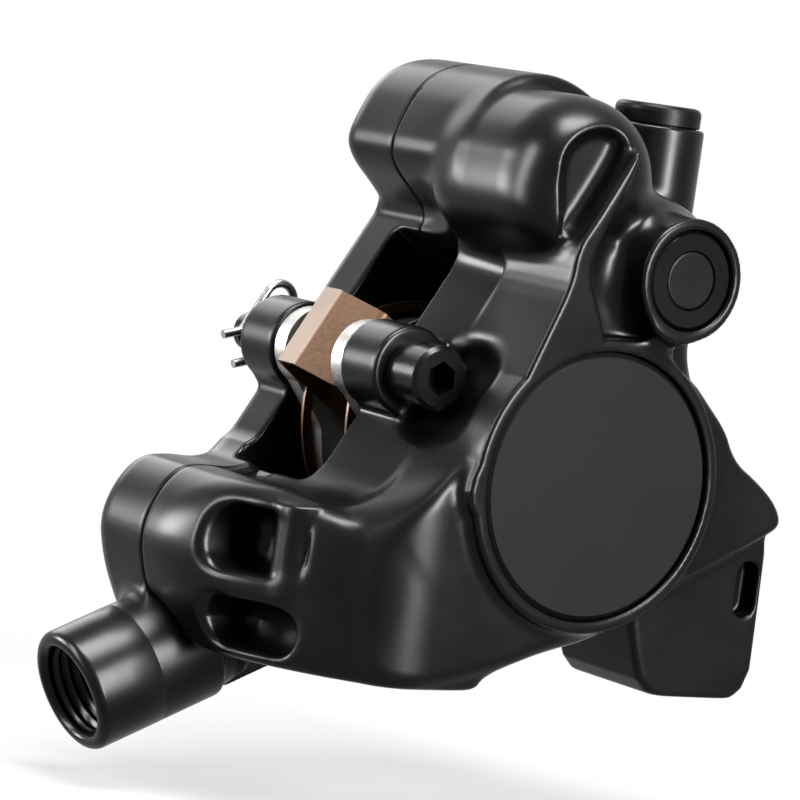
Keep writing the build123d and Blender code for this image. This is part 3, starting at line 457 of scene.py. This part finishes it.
def cut_seats(body, x, y, z, h, l):
    """Lid seat, piston bore, bleed seats, rear slot, mounting holes and bolt threads."""
    body = cut(body, disc(PISTON, LID_SEAT_RADIUS, h, l, y, LID_SEAT_SPAN), FILLET["lid_seat"])
    body = cut(body, disc(PISTON, LID_PLUG_RADIUS, h, l, y, LID_PLUG_SPAN), MACHINED)
    body = cut(body, round_bar(h, l, *PISTON, PISTON_BORE_RADIUS) + 0 * y, MACHINED)
    body = cut(body, disc(BLEED, BLEED_SEAT_RADIUS, x, z, y, BLEED_SEAT_SPAN), FILLET["bleed_seat"])
    body = cut(body, disc(BLEED, BLEED_THREAD_RADIUS, x, z, y, BLEED_THREAD_SPAN), MACHINED)
    body = cut(body, disc(NIPPLE, NIPPLE_MOUTH_RADIUS, x, y, z, NIPPLE_MOUTH_SPAN), FILLET["nipple_mouth"])
    body = cut(body, disc(NIPPLE, NIPPLE_THREAD_RADIUS, x, y, z, NIPPLE_THREAD_SPAN), MACHINED)
    along = np.maximum(np.abs(z - SLOT[1]) - SLOT_HALF_LENGTH, 0)
    slot = np.sqrt((x - SLOT[0]) ** 2 + along ** 2) - SLOT_RADIUS
    low, high, edge = SLOT_SPAN
    body = cut(body, common(slot + 0 * y, between(y, low, high), edge), FILLET["slot"])
    for mount_x in MOUNTS_X:
        body = cut(body, disc((mount_x, 0.0), MOUNT_RADIUS, x, y, z, MOUNT_SPAN), FILLET["mount"])
    for bolt in BOLTS:
        body = cut(body, disc(bolt, BOLT_RADIUS, h, l, y, BOLT_THREAD_SPAN), MACHINED)
    return body


def outer_half(step):
    """Skin of the outer body half."""
    low, high = OUTER_BOX
    x, y, z, h, l = grid(low, high, step)
    body = add_legs_and_bosses(outer_casting(y, h, l), x, y, z)
    body = cut_flank(body, x, y, z)
    body = cut(body, slab(SCOOP, h, l, y, SCOOP_SPAN, 2), FILLET["scoop"])
    # Level with the mounting face
    body = common(body, -z + 0 * x, FILLET["mount_face"])
    # Room round the axle's head, then its boss
    room = disc(AXLE, HEAD_ROOM_RADIUS, h, l, y, HEAD_ROOM_SPAN)
    room = common(room, HEAD_ROOM_FLOOR - h, HEAD_ROOM_FLOOR_EDGE)
    body = cut(body, room, FILLET["head_room"])
    boss = disc(AXLE, AXLE_BOSS_RADIUS, h, l, y, OUTER_AXLE_BOSS_SPAN)
    body = union(body, boss, FILLET["outer_axle_boss"])
    body = openings(body, y, h, l)
    body = common(body, y - PARTING + 0 * x, FILLET["parting"])
    body = cut(body, hose_field(x, y, z, *HOSE_ROOM), FILLET["hose_room"])
    body = cut_seats(body, x, y, z, h, l)
    return skin("outer_half_skin", body.astype(np.float32), low, step)


def inner_half(step):
    """Skin of the inner body half, with the hose inlet's tube."""
    low, high = INNER_BOX
    x, y, z, h, l = grid(low, high, step)
    upper = slab(UPPER_LOBE, h, l, y, INNER_LOBE_SPAN)
    lower = slab(LOWER_LOBE, h, l, y, INNER_LOBE_SPAN)
    middle = slab(MIDDLE, h, l, y, INNER_MIDDLE_SPAN)
    body = union(middle, upper, FILLET["inner_upper_lobe"])
    body = union(body, lower, FILLET["inner_lower_lobe"])
    body = common(body, -z + 0 * x, FILLET["inner_foot"])
    boss = disc(PISTON, PISTON_BOSS_RADIUS, h, l, y, PISTON_BOSS_SPAN)
    body = union(body, boss, FILLET["piston_boss"])
    body = common(body, PARTING - y + 0 * x, FILLET["parting"])
    groove_floor = hose_field(x, y, z, *HOSE_GROOVE_FLOOR)
    groove = common(hose_field(x, y, z, *HOSE_GROOVE), -groove_floor, HOSE_GROOVE_EDGE)
    tube = cut(hose_field(x, y, z, *HOSE_TUBE), groove, FILLET["hose_groove"])
    body = union(body, tube, FILLET["hose_tube"])
    boss = disc(AXLE, AXLE_BOSS_RADIUS, h, l, y, INNER_AXLE_BOSS_SPAN)
    body = union(body, boss, FILLET["inner_axle_boss"])
    body = openings(body, y, h, l)
    body = cut(body, disc(PISTON, PISTON_BORE_RADIUS, h, l, y, INNER_BORE_SPAN), FILLET["inner_bore"])
    for bolt in BOLTS:
        body = cut(body, round_bar(h, l, *bolt, BOLT_RADIUS) + 0 * y, MACHINED)
        body = cut(body, disc(bolt, BOLT_HEAD_RADIUS, h, l, y, BOLT_HEAD_SPAN), FILLET["bolt_head"])
    body = cut(body, hose_field(x, y, z, *HOSE_BORE), FILLET["hose_bore"])
    body = cut(body, hose_field(x, y, z, *HOSE_FLUID_WAY), MACHINED)
    return skin("inner_half_skin", body.astype(np.float32), low, step)


def hose_mouth():
    """Lathed end of the hose inlet: outside, bevelled mouth and the thread that winds inward."""
    around = 120
    thread_pitch, thread_radius, thread_depth = 1.1, 4.35, 0.55
    thread_start, thread_step, thread_points = 0.55, 0.09, 140
    # The thread fades in behind the mouth, which is a little wider
    fade_start, fade_run, mouth_wider = 0.5, 1.2, 0.3
    liner_end, liner_back, liner_radius = 13.4, 7.5, 5.15
    bevel, bevel_centre = 0.9, 5.4
    ex = np.array([math.cos(PORT_DIP), 0, math.sin(PORT_DIP)])
    ey = np.array([0.0, 1.0, 0.0])
    ez = np.cross(ex, ey)
    outside = [(7.5, 6.27), (7.4, 6.31), (4.0, 6.31), (1.0, 6.3)]
    for a in np.linspace(0.1, math.pi / 2, 7):
        outside.append((bevel - bevel * math.sin(a), bevel_centre + bevel * math.cos(a)))
    outside += [(0.0, 5.15), (0.1, 4.98)]
    thread_runs = [thread_start + thread_step * i for i in range(thread_points)]
    verts, faces = [], []
    for j in range(around):
        turn = j / around
        a = 2 * math.pi * turn
        side = ey * math.cos(a) + ez * math.sin(a)
        profile = list(outside)
        for run in thread_runs:
            wave = abs(((run / thread_pitch - turn) % 1.0) * 2 - 1)
            fade = min(1.0, (run - fade_start) / fade_run)
            profile.append((run, thread_radius + (1 - fade) * mouth_wider + thread_depth * wave * fade))
        profile += [(liner_end, liner_radius), (liner_back, liner_radius)]
        verts += [tuple((np.array(PORT) + ex * run + side * r) * MM) for run, r in profile]
    n = len(outside) + len(thread_runs) + 2
    for j in range(around):
        k = (j + 1) % around
        for i in range(n):
            m = (i + 1) % n
            faces.append((j * n + i, j * n + m, k * n + m, k * n + i))
    mesh = bpy.data.meshes.new("hose_inlet_mouth")
    mesh.from_pydata(verts, [], faces)
    mesh.update()
    mesh.polygons.foreach_set("use_smooth", [True] * len(mesh.polygons))
    thing = bpy.data.objects.new("hose_inlet_mouth", mesh)
    bpy.context.scene.collection.objects.link(thing)
    return thing


def small_cap():
    """Rubber cap on the vertical bleed boss, with its skirt inside the boss's mouth."""
    around = 96
    top, inner_top, bore_radius = 2.1, 1.5, 2.5
    profile = [
        (bore_radius, -1.8), (4.1, -1.8), (4.1, 0.02), (4.3, 0.02), (4.42, 0.15), (4.42, 1.4), (4.32, 1.75),
        (4.05, 2.0), (3.6, top),
    ]
    verts = [(0.0, 0.0, top), (0.0, 0.0, inner_top)]
    faces = []
    ring = profile[::-1] + [(bore_radius, inner_top)]
    n = len(ring)
    for j in range(around):
        a = 2 * math.pi * j / around
        verts += [(r * math.cos(a), r * math.sin(a), up_by) for r, up_by in ring]
    for j in range(around):
        first, then = 2 + j * n, 2 + (j + 1) % around * n
        faces.append((0, first, then))
        faces += [(first + i, first + i + 1, then + i + 1, then + i) for i in range(n - 1)]
        faces.append((first + n - 1, 1, then + n - 1))
    mesh = bpy.data.meshes.new("nipple_cap_skin")
    place = [((x + NIPPLE[0]) * MM, (y + NIPPLE[1]) * MM, (z + NIPPLE_TOP) * MM) for x, y, z in verts]
    mesh.from_pydata(place, [], faces)
    mesh.update()
    thing = bpy.data.objects.new("nipple_cap_skin", mesh)
    bpy.context.scene.collection.objects.link(thing)
    return thing


# Noise scales and relief depth of every finish, the last in metres
BROAD_SCALE = 90.0
BROAD_DETAIL = 4.0
FINE_DETAIL = 3.0
RELIEF_DEPTH = 0.0002
METAL_GLOSS = 0.5
# Noise values between which the colour, and then the roughness, runs from one end to the other
TONE_FROM, TONE_TO = 0.42, 0.60
POLISH_FROM, POLISH_TO = 0.35, 0.65
# Cosine of the angle to the spring's roof at which its painted highlight starts and is full
ROOF_HIGHLIGHT_FROM, ROOF_HIGHLIGHT_TO = 0.80, 0.97


def finish_of(name, colour, metallic, rough, rough_spread, speckle, bump, grain, gloss=METAL_GLOSS):
    """Node material with uneven colour and roughness and fine relief."""
    m = bpy.data.materials.new(name)
    m.use_nodes = True
    t = m.node_tree
    n, link = t.nodes, t.links.new
    shader = n["Principled BSDF"]
    where = n.new("ShaderNodeTexCoord")
    broad = n.new("ShaderNodeTexNoise")
    broad.inputs["Scale"].default_value = BROAD_SCALE
    broad.inputs["Detail"].default_value = BROAD_DETAIL
    fine = n.new("ShaderNodeTexNoise")
    fine.inputs["Scale"].default_value = grain
    fine.inputs["Detail"].default_value = FINE_DETAIL
    for noise in (broad, fine):
        link(where.outputs["Object"], noise.inputs["Vector"])
    tone = n.new("ShaderNodeMix")
    tone.data_type = "RGBA"
    tone.inputs["A"].default_value = (*[c * (1 - speckle) for c in colour], 1)
    tone.inputs["B"].default_value = (*[min(1.0, c * (1 + speckle)) for c in colour], 1)
    sharpen = n.new("ShaderNodeMapRange")
    sharpen.inputs["From Min"].default_value = TONE_FROM
    sharpen.inputs["From Max"].default_value = TONE_TO
    link(fine.outputs["Fac"], sharpen.inputs["Value"])
    link(sharpen.outputs["Result"], tone.inputs["Factor"])
    link(tone.outputs["Result"], shader.inputs["Base Color"])
    polish = n.new("ShaderNodeMapRange")
    polish.inputs["From Min"].default_value = POLISH_FROM
    polish.inputs["From Max"].default_value = POLISH_TO
    polish.inputs["To Min"].default_value = rough - rough_spread
    polish.inputs["To Max"].default_value = rough + rough_spread
    link(broad.outputs["Fac"], polish.inputs["Value"])
    link(polish.outputs["Result"], shader.inputs["Roughness"])
    relief = n.new("ShaderNodeBump")
    relief.inputs["Strength"].default_value = bump
    relief.inputs["Distance"].default_value = RELIEF_DEPTH
    link(fine.outputs["Fac"], relief.inputs["Height"])
    link(relief.outputs["Normal"], shader.inputs["Normal"])
    shader.inputs["Metallic"].default_value = metallic
    shader.inputs["Specular IOR Level"].default_value = gloss
    return m


def paint_roof_highlight(material, colour):
    """Painted highlight: brighter colour where the surface faces away from the wheel, standing in for the
    light that the spring's roof catches.
    """
    tree = material.node_tree
    shader = tree.nodes["Principled BSDF"]
    faces_out = tree.nodes.new("ShaderNodeVectorMath")
    faces_out.operation = "DOT_PRODUCT"
    faces_out.inputs[1].default_value = (-math.sin(LEAN), 0.0, math.cos(LEAN))
    surface = tree.nodes.new("ShaderNodeTexCoord")
    tree.links.new(surface.outputs["Normal"], faces_out.inputs[0])
    highlit = tree.nodes.new("ShaderNodeMapRange")
    highlit.inputs["From Min"].default_value = ROOF_HIGHLIGHT_FROM
    highlit.inputs["From Max"].default_value = ROOF_HIGHLIGHT_TO
    tree.links.new(faces_out.outputs["Value"], highlit.inputs["Value"])
    bright = tree.nodes.new("ShaderNodeMix")
    bright.data_type = "RGBA"
    bright.inputs["B"].default_value = (*colour, 1)
    tree.links.new(highlit.outputs["Result"], bright.inputs["Factor"])
    tree.links.new(shader.inputs["Base Color"].links[0].from_socket, bright.inputs["A"])
    tree.links.new(bright.outputs["Result"], shader.inputs["Base Color"])


# Colour, metallic, roughness and its spread, then speckle, bump, grain and gloss
paint = finish_of("black_painted_cast", (0.0005, 0.0005, 0.0007), 0.0, 0.30, 0.04, 0.25, 0.012, 5200.0, 0.085)
lid_paint = finish_of("grey_matte_lid", (0.0009, 0.0009, 0.0012), 0.0, 0.52, 0.05, 0.20, 0.03, 6000.0, 0.06)
steel = finish_of("bright_plate", (0.20, 0.195, 0.185), 1.0, 0.40, 0.08, 0.12, 0.08, 2500.0)
wire = finish_of("stainless_wire", (0.24, 0.235, 0.23), 1.0, 0.30, 0.06, 0.10, 0.06, 3000.0)
copper = finish_of("copper_sheet", (0.040, 0.022, 0.013), 1.0, 0.46, 0.08, 0.14, 0.05, 3000.0)
# Painted highlight: the spring's roof gets a lighter copy of the copper colour for the light it catches
paint_roof_highlight(copper, (0.125, 0.098, 0.080))
friction = finish_of("pressed_lining", (0.010, 0.008, 0.007), 0.0, 0.75, 0.10, 0.55, 0.5, 1800.0, 0.08)
rubber = finish_of("black_rubber", (0.0003, 0.0003, 0.0004), 0.0, 0.40, 0.06, 0.20, 0.05, 3000.0, 0.06)
screw = finish_of("black_anodised", (0.0006, 0.0006, 0.0008), 0.0, 0.22, 0.04, 0.15, 0.02, 3000.0, 0.09)
turned = finish_of("turned_piston", (0.45, 0.45, 0.46), 1.0, 0.30, 0.06, 0.10, 0.05, 3000.0)
bolt_finish = finish_of("dark_zinc_bolt", (0.10, 0.10, 0.105), 1.0, 0.34, 0.06, 0.15, 0.08, 3000.0)

LOOKS = {
    "body_outer": paint, "body_inner": paint, "body_bolts": bolt_finish, "crossover_seal": rubber,
    "bore_cap": lid_paint, "bore_cap_seal": rubber, "outer_piston": turned, "inner_piston": turned,
    "outer_piston_seal": rubber, "inner_piston_seal": rubber, "outer_pad_plate": steel,
    "inner_pad_plate": steel, "outer_pad_lining": friction, "inner_pad_lining": friction,
    "pad_spring": copper, "pad_axle": screw, "axle_clip": wire, "bleed_nipple": steel,
    "nipple_cap": rubber, "bleed_screw": screw, "bleed_screw_cap": rubber, "bleed_screw_oring": rubber,
}
for node, look in LOOKS.items():
    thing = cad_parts[node]
    thing.data.materials.clear()
    thing.data.materials.append(look)

# Narrow bevels so that the small machined pieces catch light on their edges
BEVELS = {
    "bore_cap": 0.15, "pad_axle": 0.12, "bleed_screw": 0.12, "outer_pad_plate": 0.25,
    "inner_pad_plate": 0.25, "body_bolts": 0.15,
}
BEVEL_FROM_ANGLE = math.radians(35)
for node, width in BEVELS.items():
    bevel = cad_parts[node].modifiers.new("edge", "BEVEL")
    bevel.width = width * MM
    bevel.segments = 2
    bevel.limit_method = "ANGLE"
    bevel.angle_limit = BEVEL_FROM_ANGLE

outer_skin = outer_half(GRID_STEP)
inner_skin = inner_half(GRID_STEP)
liner = hose_mouth()
for thing in (outer_skin, inner_skin, liner):
    thing.data.materials.append(paint)
    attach(thing, "caliper")
cap_skin = small_cap()
cap_skin.data.materials.append(rubber)
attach(cap_skin, "nipple_cap")
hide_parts("nipple_cap")
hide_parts("body_outer")
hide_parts("body_inner")

# The return spring's mesh, copied into an object of its own on the caliper
cad_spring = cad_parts["pad_spring"]
spring_skin = bpy.data.objects.new("pad_spring_skin", cad_spring.data.copy())
bpy.context.scene.collection.objects.link(spring_skin)
spring_skin.matrix_world = cad_spring.matrix_world
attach(spring_skin, "caliper")
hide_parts("pad_spring")
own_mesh(spring_skin)


def seen_white(tree):
    """Socket that is 1 for camera, glossy and transmission rays."""
    path = tree.nodes.new("ShaderNodeLightPath")
    last = path.outputs["Is Camera Ray"]
    for kind in ("Is Glossy Ray", "Is Transmission Ray"):
        either = tree.nodes.new("ShaderNodeMath")
        either.operation = "MAXIMUM"
        tree.links.new(last, either.inputs[0])
        tree.links.new(path.outputs[kind], either.inputs[1])
        last = either.outputs[0]
    return last


def mixed_by_ray(tree, factor, lit, white, out):
    """Joins a lit shader and a white one by a factor socket and sends the mix out."""
    mix = tree.nodes.new("ShaderNodeMixShader")
    tree.links.new(factor, mix.inputs[0])
    tree.links.new(lit.outputs[0], mix.inputs[1])
    tree.links.new(white.outputs[0], mix.inputs[2])
    tree.links.new(mix.outputs[0], out.inputs[0])


def pale_floor():
    """Material that shows the shadow near the part and fades to white further out."""
    pale = bpy.data.materials.new("pale_floor")
    pale.use_nodes = True
    tree = pale.node_tree
    tree.nodes.clear()
    out = tree.nodes.new("ShaderNodeOutputMaterial")
    matte = tree.nodes.new("ShaderNodeBsdfDiffuse")
    matte.inputs["Color"].default_value = FLOOR_COLOUR
    glow = tree.nodes.new("ShaderNodeEmission")
    glow.inputs["Strength"].default_value = 1.0
    where = tree.nodes.new("ShaderNodeTexCoord")
    far = tree.nodes.new("ShaderNodeVectorMath")
    far.operation = "LENGTH"
    fade = tree.nodes.new("ShaderNodeMapRange")
    fade.inputs["From Min"].default_value = FADE_START
    fade.inputs["From Max"].default_value = FADE_END
    fade.inputs["To Min"].default_value = FADE_LEAST
    share = tree.nodes.new("ShaderNodeMath")
    share.operation = "MULTIPLY"
    tree.links.new(where.outputs["Object"], far.inputs[0])
    tree.links.new(far.outputs["Value"], fade.inputs["Value"])
    tree.links.new(fade.outputs["Result"], share.inputs[0])
    tree.links.new(seen_white(tree), share.inputs[1])
    mixed_by_ray(tree, share.outputs[0], matte, glow, out)
    return pale


# Floor, in metres from the row frame's origin
FLOOR_Z = -0.0150
FLOOR_HALF = 4
FLOOR_COLOUR = (0.14, 0.14, 0.14, 1)
FADE_START = 0.05
FADE_END = 0.16
FADE_LEAST = 0.62
floor_mesh = bpy.data.meshes.new("floor")
signs = ((-1, -1), (1, -1), (1, 1), (-1, 1))
corners = [(FLOOR_HALF * u, FLOOR_HALF * v, FLOOR_Z) for u, v in signs]
floor_mesh.from_pydata(corners, [], [(0, 1, 2, 3)])
floor = bpy.data.objects.new("floor", floor_mesh)
bpy.context.scene.collection.objects.link(floor)
floor_mesh.materials.append(pale_floor())

# Grey room for the light, white for what the camera and reflections see
ROOM_COLOUR = (0.62, 0.63, 0.65, 1)
ROOM_STRENGTH = 0.55
world = bpy.data.worlds.new("studio")
bpy.context.scene.world = world
world.use_nodes = True
tree = world.node_tree
tree.nodes.clear()
out = tree.nodes.new("ShaderNodeOutputWorld")
room = tree.nodes.new("ShaderNodeBackground")
room.inputs["Color"].default_value = ROOM_COLOUR
room.inputs["Strength"].default_value = ROOM_STRENGTH
white = tree.nodes.new("ShaderNodeBackground")
white.inputs["Color"].default_value = (1, 1, 1, 1)
mixed_by_ray(tree, seen_white(tree), room, white, out)

# Camera solved from the photo: right, up and back directions and its place in the row frame
FOCAL_PIXELS = 4192.0
FRAME_PIXELS = 800.0
CLIP_START = 0.01
right = (0.820036, -0.554715, 0.140825)
up = (-0.071154, 0.145336, 0.986820)
back = (-0.567871, -0.819249, 0.079710)
place = (-0.251158, -0.334041, 0.059459)
lens = bpy.data.cameras.new("camera")
lens.sensor_width = 36.0
lens.lens = lens.sensor_width * FOCAL_PIXELS / FRAME_PIXELS
lens.clip_start = CLIP_START
camera = bpy.data.objects.new("camera", lens)
camera.matrix_world = Matrix([(right[i], up[i], back[i], place[i]) for i in range(3)] + [(0, 0, 0, 1)])
bpy.context.scene.collection.objects.link(camera)
bpy.context.scene.camera = camera

# Middle of the part, in metres, which every lamp looks at
LAMP_TARGET = (-0.005, 0.006, 0.025)


def softbox(name, azimuth, elevation, distance, width, height, power):
    """Area lamp aimed at the part; azimuth turns from the camera's side towards its right."""
    middle = np.array(LAMP_TARGET)
    a, e = math.radians(azimuth), math.radians(elevation)
    b = np.array(back)
    r = np.array(right)
    b[2] = r[2] = 0
    b /= np.linalg.norm(b)
    r /= np.linalg.norm(r)
    direction = (b * math.cos(a) + r * math.sin(a)) * math.cos(e) + np.array((0, 0, 1)) * math.sin(e)
    lamp = bpy.data.lights.new(name, "AREA")
    lamp.shape = "RECTANGLE"
    lamp.size, lamp.size_y = width, height
    lamp.energy = power
    thing = bpy.data.objects.new(name, lamp)
    spot = middle + direction * distance
    x_axis = np.cross((0, 0, 1), direction)
    x_axis /= np.linalg.norm(x_axis)
    y_axis = np.cross(direction, x_axis)
    rows = [(x_axis[i], y_axis[i], direction[i], spot[i]) for i in range(3)]
    thing.matrix_world = Matrix(rows + [(0, 0, 0, 1)])
    bpy.context.scene.collection.objects.link(thing)


# Azimuth and elevation in degrees, distance, width and height in metres, power in watts
LAMPS = {
    "key_above": (0, 78, 0.55, 0.34, 0.24, 20.0),
    "strip_right": (43, 14, 0.50, 0.13, 0.40, 19.0),
    "fill_left": (-100, 7, 0.60, 0.16, 0.17, 6.5),
    "front_left": (-70, 11, 0.50, 0.11, 0.40, 8.0),
    "back_left": (-148, 28, 0.70, 0.40, 0.36, 2.4),
}
for name, values in LAMPS.items():
    softbox(name, *values)

bpy.context.scene.view_settings.view_transform = "Standard"
